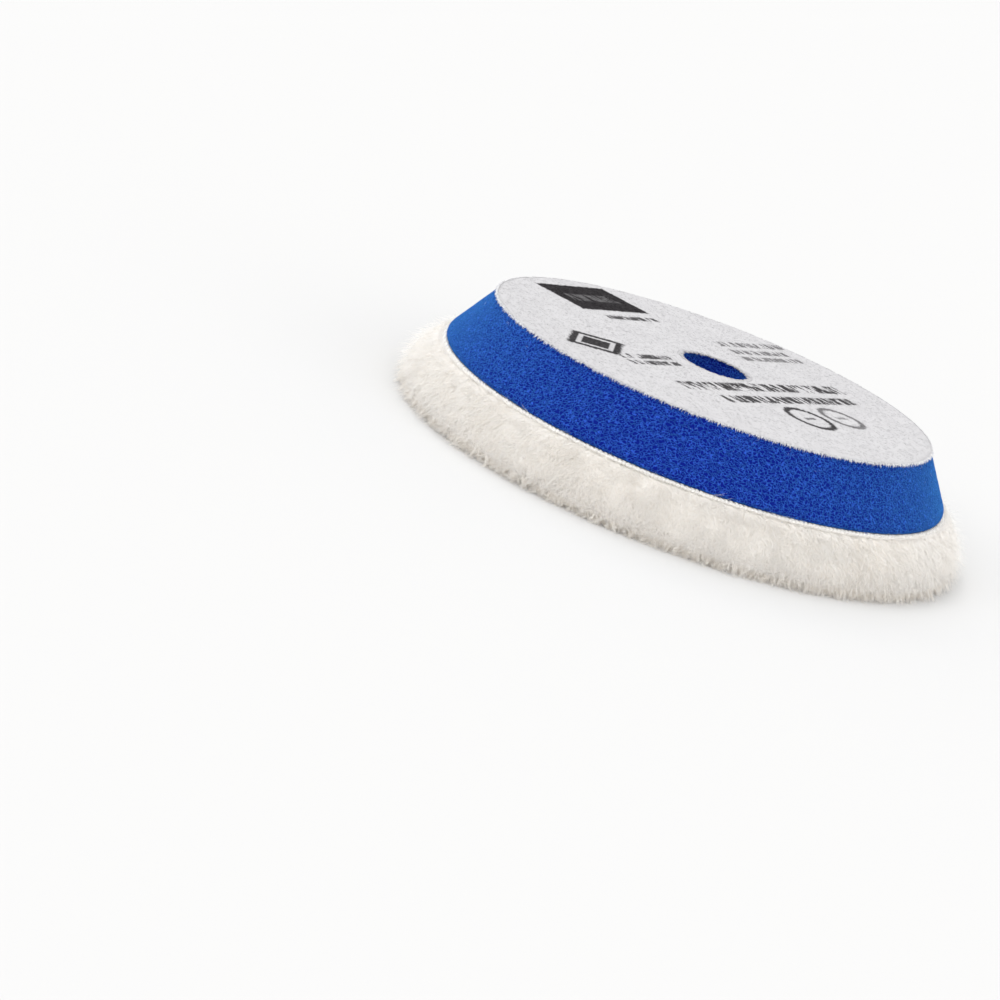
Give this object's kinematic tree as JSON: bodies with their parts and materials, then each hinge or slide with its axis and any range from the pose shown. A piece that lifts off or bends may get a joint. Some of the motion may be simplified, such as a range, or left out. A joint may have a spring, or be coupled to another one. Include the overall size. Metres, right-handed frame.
{
  "type": "wool polishing pad",
  "caption": "Round wool polishing pad on a tapered foam interface, with a hook-and-loop backing and a blind centring hole.",
  "frame": {"origin": "middle of the wool face, on the surface that the pad lies on", "axes": "+Z along the pad's axis, from the wool face to the loop face; X and Y lie in the wool face, and the solids are round, so their direction is free"},
  "size_m": [0.171, 0.171, 0.0327],
  "materials": {
    "loop_nap": null,
    "loop_ground": "matte white warp knit",
    "adhesive": "milky hot-melt film",
    "foam": "open-cell polyurethane foam, matte royal blue",
    "wool_ground": "matte off-white knit",
    "wool": "soft cream wool fibre"
  },
  "bodies": {
    "root": {"wool_pile": "wool", "wool_ground_fabric": "wool_ground", "wool_adhesive_film": "adhesive", "foam_interface": "foam", "loop_adhesive_film": "adhesive", "loop_ground_fabric": "loop_ground", "loop_nap": "loop_nap"}
  },
  "joints": []
}
